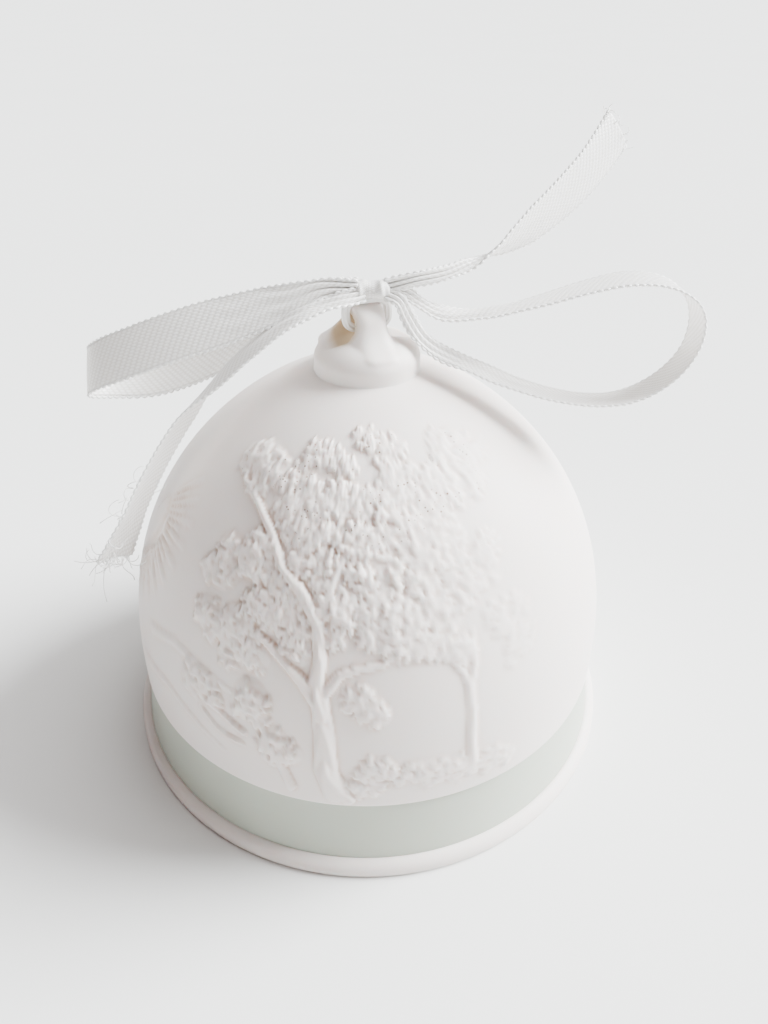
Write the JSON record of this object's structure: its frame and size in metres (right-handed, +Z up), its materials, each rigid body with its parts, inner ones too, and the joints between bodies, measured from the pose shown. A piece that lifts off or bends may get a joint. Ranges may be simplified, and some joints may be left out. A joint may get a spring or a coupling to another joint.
{
  "type": "bell ornament",
  "caption": "Porcelain Christmas bell ornament with a recessed green band, a hanging loop tied with a ribbon bow, and a wire-hung porcelain clapper.",
  "frame": {"origin": "centre of the rim plane, on the surface that the bell stands on", "axes": "+Z up along the bell's axis; the relief's tree faces -Y; +X to the right seen from the front"},
  "size_m": [0.087, 0.08, 0.0879],
  "materials": {
    "bisque_porcelain": "unglazed matte white porcelain",
    "green_slip": "pale grey-green matte slip",
    "satin_ribbon": "off-white woven satin with looped edges",
    "bonding_cement": "rough off-white cement",
    "brass_wire": "dull drawn brass"
  },
  "bodies": {
    "root": {"bell_shell": "bisque_porcelain", "slip_band": "green_slip", "crown_button": "bisque_porcelain", "hanging_loop": "bisque_porcelain", "anchor_plug": "bonding_cement", "clapper_staple": "brass_wire"},
    "bow": {"ribbon_neck": "satin_ribbon", "ribbon_knot": "satin_ribbon", "ribbon_loop_left": "satin_ribbon", "ribbon_tail_left": "satin_ribbon", "ribbon_loop_right": "satin_ribbon", "ribbon_tail_right": "satin_ribbon"},
    "link": {"link_ring": "brass_wire"},
    "clapper": {"clapper_wire": "brass_wire", "clapper_bead": "bisque_porcelain", "stop_washer": "brass_wire"}
  },
  "joints": [
    {"name": "bow_tilt", "type": "hinge", "parent": "root", "child": "bow", "pos_m": [0, 0, 0.0654], "axis": [0.9397, 0.342, 0], "range_deg": [-20, 5]},
    {"name": "link_swing", "type": "hinge", "parent": "root", "child": "link", "pos_m": [0, 0, 0.0505], "axis": [1, 0, 0], "range_deg": [-30, 30]},
    {"name": "clapper_swing", "type": "hinge", "parent": "link", "child": "clapper", "pos_m": [0, 0, 0.04565], "axis": [0, 1, 0], "range_deg": [-40, 40]}
  ]
}
